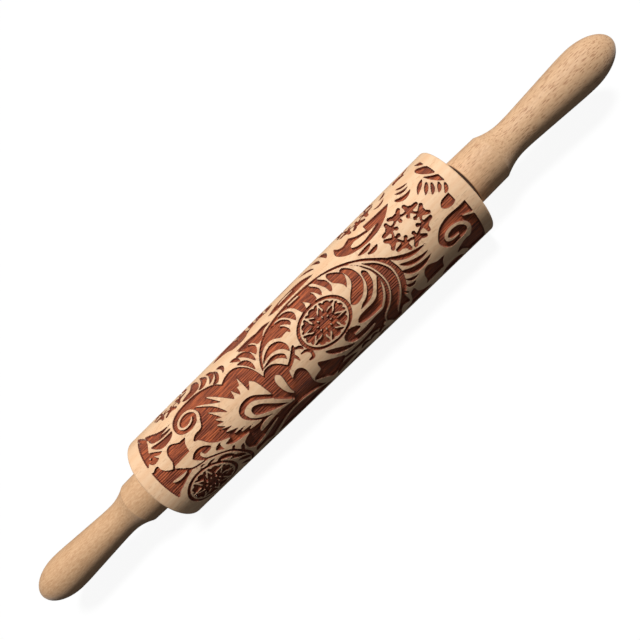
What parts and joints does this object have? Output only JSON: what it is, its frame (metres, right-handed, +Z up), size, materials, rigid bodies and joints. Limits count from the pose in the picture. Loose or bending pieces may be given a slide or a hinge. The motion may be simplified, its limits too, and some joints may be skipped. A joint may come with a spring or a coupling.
{
  "type": "rolling pin",
  "caption": "Beech rolling pin whose barrel, engraved all round with leaf, scroll and rosette ornament, turns on a steel axle between two turned handles.",
  "frame": {"origin": "midway between the handle tips, under the axle, at the height of the barrel's lowest line", "axes": "+X along the axle towards the right handle, +Z up from the surface the barrel lies on"},
  "size_m": [0.38, 0.0474, 0.0475],
  "materials": {
    "barrel_beech": "sanded pale beech with a laser-engraved, toasted brown ground",
    "handle_beech": "turned and sanded beech, unvarnished",
    "axle_steel": "drawn bright bar",
    "bush_nylon": "moulded natural nylon",
    "washer_steel": "zinc-plated pressed washer"
  },
  "bodies": {
    "barrel": {"barrel": "barrel_beech", "left_bush": "bush_nylon", "right_bush": "bush_nylon"},
    "washers": {"left_washer": "washer_steel", "right_washer": "washer_steel"},
    "handles": {"axle_rod": "axle_steel", "left_handle": "handle_beech", "right_handle": "handle_beech"}
  },
  "joints": [
    {"name": "end_play", "type": "slide", "parent": "barrel", "child": "washers", "axis": [1, 0, 0], "range_m": [-0.0022, 0]},
    {"name": "barrel_spin", "type": "hinge", "parent": "washers", "child": "handles", "pos_m": [0, 0, 0.02375], "axis": [1, 0, 0], "continuous": true}
  ]
}
